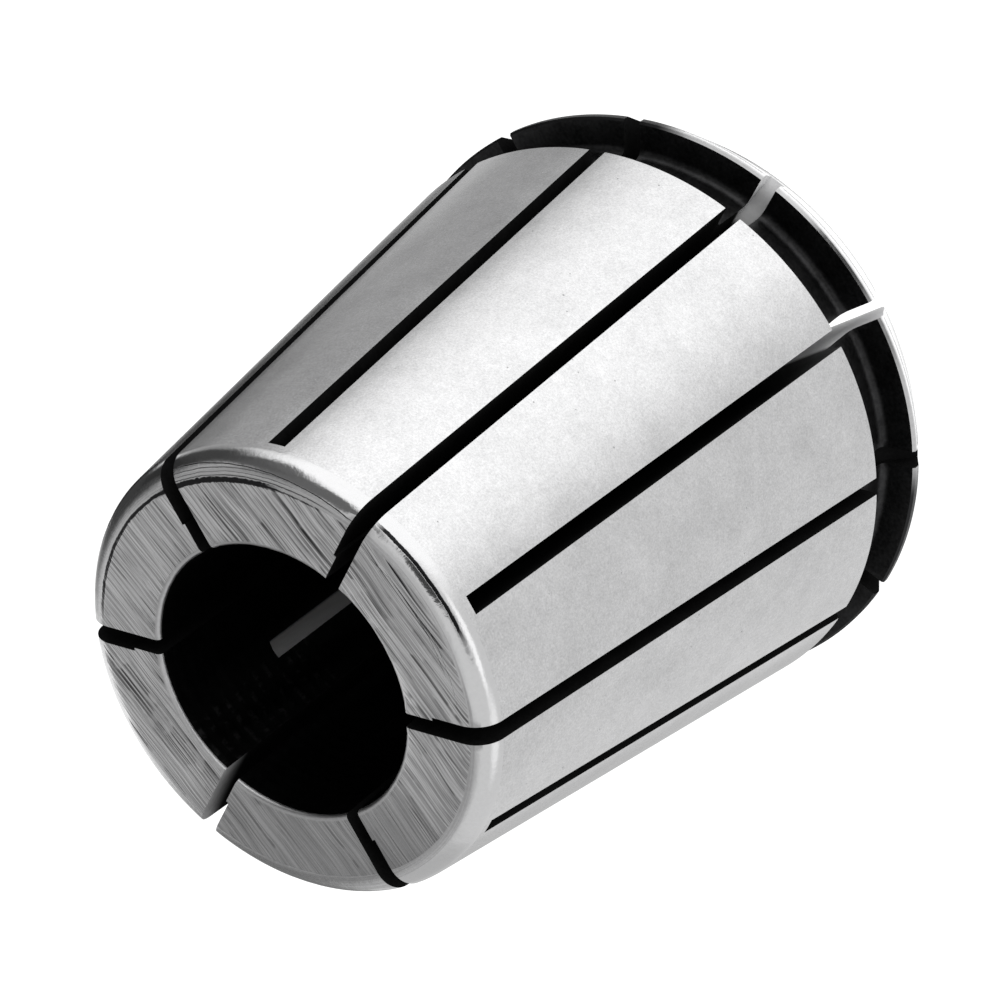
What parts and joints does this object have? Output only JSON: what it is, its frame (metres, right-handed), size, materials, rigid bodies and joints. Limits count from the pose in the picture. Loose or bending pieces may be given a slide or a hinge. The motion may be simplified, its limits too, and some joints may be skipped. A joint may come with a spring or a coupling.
{
  "type": "er collet",
  "caption": "Slotted steel spring collet: long outer taper, extraction groove, short flange cone and a through bore that grips a straight tool shank.",
  "frame": {"origin": "centre of the large front face, where the collet's axis meets the surface it stands on", "axes": "+Z along the axis from the large front face to the small rear end; +X through the middle of a slot that is open at the small end"},
  "size_m": [0.041, 0.041, 0.046],
  "materials": {
    "ground_steel": "fine ground, semi-bright"
  },
  "bodies": {
    "root": {"collet_body": "ground_steel"}
  },
  "joints": []
}
